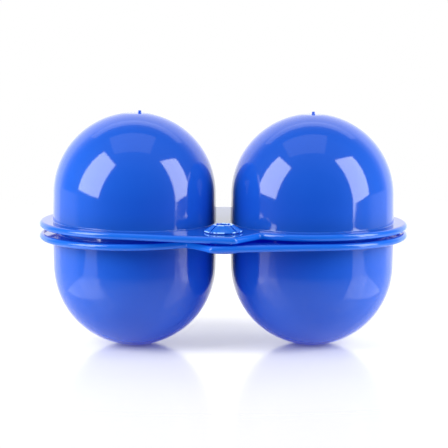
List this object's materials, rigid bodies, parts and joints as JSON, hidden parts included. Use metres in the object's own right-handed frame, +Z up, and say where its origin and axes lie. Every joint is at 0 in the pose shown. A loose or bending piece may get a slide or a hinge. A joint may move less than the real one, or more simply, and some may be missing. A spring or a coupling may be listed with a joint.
{
  "type": "egg carrying case",
  "caption": "Hinged carrying case for eggs: domed cups side by side in glossy half shells, flanged all round, closed by a split snap stud at the front.",
  "frame": {"origin": "on the surface the case stands on, centred under its bounding box", "axes": "+Z up, -Y towards the snap, +Y towards the hinge, X along the hinge pin and across the two cups"},
  "size_m": [0.1178, 0.0746, 0.0753],
  "materials": {
    "lower_shell": "glossy moulded blue",
    "upper_shell": "glossy moulded blue",
    "snap_stud": "glossy moulded blue",
    "hinge_pin": "bright drawn wire"
  },
  "bodies": {
    "base": {"lower_shell": "lower_shell", "snap_stud": "snap_stud", "hinge_pin": "hinge_pin"},
    "lid": {"upper_shell": "upper_shell"}
  },
  "joints": [
    {"name": "lid_hinge", "type": "hinge", "parent": "base", "child": "lid", "pos_m": [0, 0.0352, 0.03711], "axis": [-1, 0, 0], "range_deg": [0, 178], "deforming": ["snap_stud"]}
  ]
}
